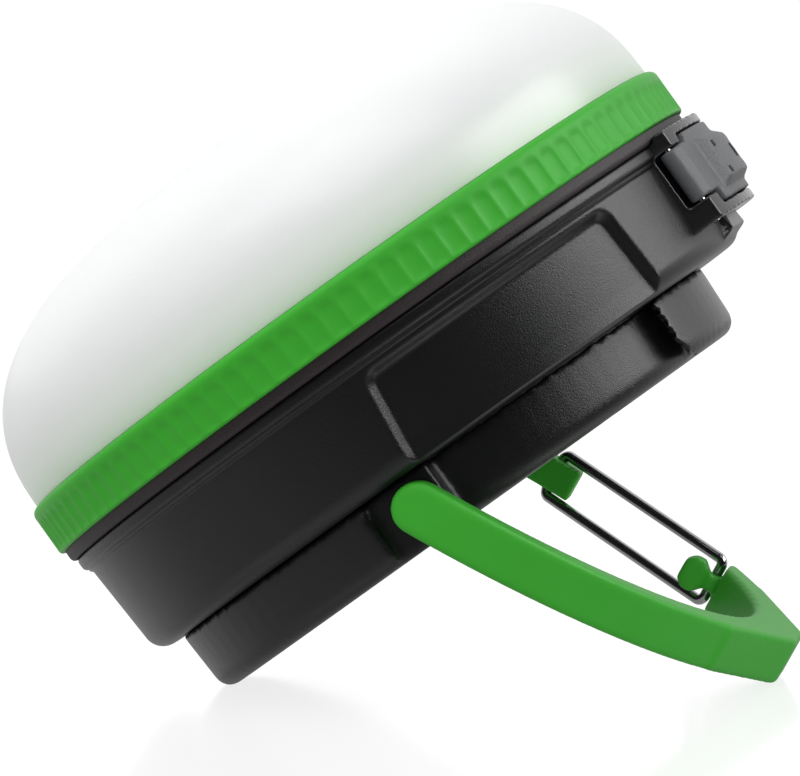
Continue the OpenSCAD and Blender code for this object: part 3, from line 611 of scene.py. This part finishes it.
# %% Thumb rest and button seat
REST_X, REST_LOW, REST_TOP = 57.1, SPLIT + 0.9, 16.6
REST_HALF, REST_HALF_AT, REST_FLARE = 8.6, 15.5, 0.65
SIDE_SLOPE, FOOT_SLOPE = 0.7, 1.2
SEAT_Y, SEAT_R, HOLLOW_R, HOLLOW_DEEP, HOLLOW_SLOPE = 56.2, 7.6, 6.1, 1.5, 0.5
low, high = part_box("mode_button")
BUTTON_Z = (to_lamp.inverted() @ ((Vector(low) + Vector(high)) / 2)).z / MM
for v in house.data.vertices:
    x, y, z = v.co / MM
    if math.hypot(x, y) < INNER_EDGE:
        continue
    if x > 0 and REST_LOW < z < REST_TOP:
        half = REST_HALF + REST_FLARE * (REST_HALF_AT - z)
        mask = soft_step((half - abs(y)) / SIDE_SLOPE + 0.5) * soft_step((z - REST_LOW) / FOOT_SLOPE)
        v.co.x = max(v.co.x, v.co.x + (REST_X * MM - v.co.x) * mask)
    to_button = math.hypot(x, z - BUTTON_Z)
    if y > 0 and to_button < SEAT_R:
        hollow = HOLLOW_DEEP * soft_step((HOLLOW_R - to_button) / HOLLOW_SLOPE)
        v.co.y = min(v.co.y, (SEAT_Y - hollow) * MM)
print("the button's centre is", round(BUTTON_Z, 2), "mm up")
hand_over(house, black, "lamp", 40, "upper_housing", to_lamp)


# %% [markdown]
# ## Dome
# The dome is moulded in one smooth swell. Its outline is a flattened oval: a power of the cosine
# keeps the shoulder full, and a power of the sine flattens the crown. A sphere could be stretched
# to size instead, but its shoulder would be too round. It is turned with many rows, so that its
# gloss runs without bands, and an inner outline gives it its wall.

# %% Frosted dome's skin
DOME_R, DOME_H, DOME_WALL = 58.7, 29.3, 1.8
SKIRT_R, SKIRT_T = BORE_R - 0.05, 1.6
dome_foot = RING_TOP + 0.05


def dome_outline(r, h, n):
    """From the foot to the crown, which lies on the axis."""
    angles = [math.pi / 2 * i / n for i in range(n)]
    rows = [(r * math.cos(a) ** (2 / 3), dome_foot + h * math.sin(a) ** 0.8) for a in angles]
    return rows + [(0, dome_foot + h)]


outer = dome_outline(DOME_R, DOME_H, 72)
inner = dome_outline(DOME_R - DOME_WALL, DOME_H - DOME_WALL, 40)
skirt_low = SPIGOT_TOP + 0.3
skirt = [(SKIRT_R - SKIRT_T, skirt_low), (SKIRT_R, skirt_low), (SKIRT_R, dome_foot)]
dome = turned("frosted_dome_skin", skirt + outer + inner[::-1], 288)
hand_over(dome, dome_mat, "lamp", 50, "diffuser_dome", to_lamp)


# %% [markdown]
# ## Hook
# The hook and its short stub are mouldings whose edges are soft all along, also where the straight
# flanks of the tip leave the round band. A Bevel modifier stumbles over such corners. So a copy of
# each solid is merged, remeshed into even small squares, and relaxed a little, which rounds every
# crease by the same small radius and keeps the piece in its place.

# %% Soft copy of a solid
def soft_copy(node, name, voxel, rounds):
    """A relaxed copy of a node; the voxel is in metres, and more rounds make softer edges."""
    obj = bpy.data.objects.new(name, nodes[node].data.copy())
    scene.collection.objects.link(obj)
    solo(obj)
    merge_doubles()
    bpy.ops.object.mode_set(mode="OBJECT")
    even = obj.modifiers.new("even", "REMESH")
    even.mode = "VOXEL"
    even.voxel_size = voxel
    relax = obj.modifiers.new("relax", "SMOOTH")
    relax.factor = 0.5
    relax.iterations = rounds
    for modifier in ("even", "relax"):
        bpy.ops.object.modifier_apply(modifier=modifier)
    return obj


# %% Hook and stub
ALL_SMOOTH = 180
hook = soft_copy("hook", "hook_moulding", 0.00042, 10)
hand_over(hook, green, "hook", ALL_SMOOTH, "hook")
stub = soft_copy("hook_stub", "hook_stub_moulding", 0.0003, 14)
hand_over(stub, green, "hook", ALL_SMOOTH, "hook_stub")

# %% [markdown]
# ## Port frame and cover
# The rubber cover's pad slopes up from the plate all round, and the frame is a small moulding with
# soft edges. Both are relaxed copies of their solids too: the pad's low steps melt into a slope.

# %% Cover and port frame
cover = soft_copy("port_cover", "cover_moulding", 0.00026, 16)
hand_over(cover, grey, "cover", ALL_SMOOTH, "port_cover")
port_frame = soft_copy("port_housing", "port_frame_moulding", 0.00030, 5)
hand_over(port_frame, gloss_black, "lamp", ALL_SMOOTH, "port_housing")

# %% [markdown]
# ## Base tub
# The tub below the housing has pockets that the folded hook lies in. Moulded corners are never
# quite sharp, and the thin light along them is what shows their shape on black plastic.

# %% Tub
tub = soft_copy("base_tub", "tub_moulding", 0.0006, 5)
hand_over(tub, black, "lamp", ALL_SMOOTH, "base_tub")

# %% [markdown]
# ## Marks on the port's cover
# The raised pad of the rubber cover has a small stud near each corner and a little triangle in the
# middle, which help the thumb to find and pull it. A stud is a cube, flattened, and the triangle a
# three-sided cylinder. Each is turned square to the round pad, and gets its edges bevelled.

# %% Studs and triangle
PAD_R, PAD_Z = 63.1, 22.8
STUD_Y, STUD_Z, STUD_SIZE = 10.6, 2.4, 1.1
TRIANGLE_R, TRIANGLE_H, EDGE_BEVEL = 1.5, 0.6, 0.14
LYING = (0, math.pi / 2, 0)
stud_places = [(y, z) for y in (-STUD_Y, STUD_Y) for z in (-STUD_Z, STUD_Z)]
marks = []
for y, z in stud_places + [(0, 0)]:
    around = math.atan2(y, math.sqrt(PAD_R ** 2 - y ** 2))
    at = Vector((math.cos(around) * PAD_R, math.sin(around) * PAD_R, PAD_Z + z)) * MM
    bpy.ops.object.select_all(action="DESELECT")
    if y:
        bpy.ops.mesh.primitive_cube_add(size=STUD_SIZE * MM)
    else:
        bpy.ops.mesh.primitive_cylinder_add(
            vertices=3, radius=TRIANGLE_R * MM, depth=TRIANGLE_H * MM, rotation=LYING)
        bpy.ops.object.transform_apply(location=False, rotation=True, scale=False)
    mark = bpy.context.object
    bpy.ops.object.mode_set(mode="EDIT")
    bpy.ops.mesh.select_all(action="SELECT")
    if y:
        bpy.ops.transform.resize(value=(0.5, 1, 1))
    bpy.ops.mesh.bevel(offset=EDGE_BEVEL * MM, segments=2, affect="EDGES")
    bpy.ops.object.mode_set(mode="OBJECT")
    mark.data.transform(Matrix.Translation(at) @ Matrix.Rotation(around, 4, "Z"))
    marks.append(mark)
print("made", len(marks), "marks")

# %% [markdown]
# The marks are joined to one mesh, because they are moulded on one cover and move as one. The piece
# rides on the cover's body, so it swings open with it.

# %% One piece of them all
bpy.ops.object.select_all(action="DESELECT")
for mark in marks:
    mark.select_set(True)
bpy.context.view_layer.objects.active = marks[0]
bpy.ops.object.join()
studs = bpy.context.object
studs.name = "cover_studs"
hand_over(studs, rubber, "cover", 30, place=to_lamp)

# %% [markdown]
# ## Sizes
# The dressed lamp must be as large as the imported one, and no larger.

# %% Bring the scene up to date
bpy.context.view_layer.update()
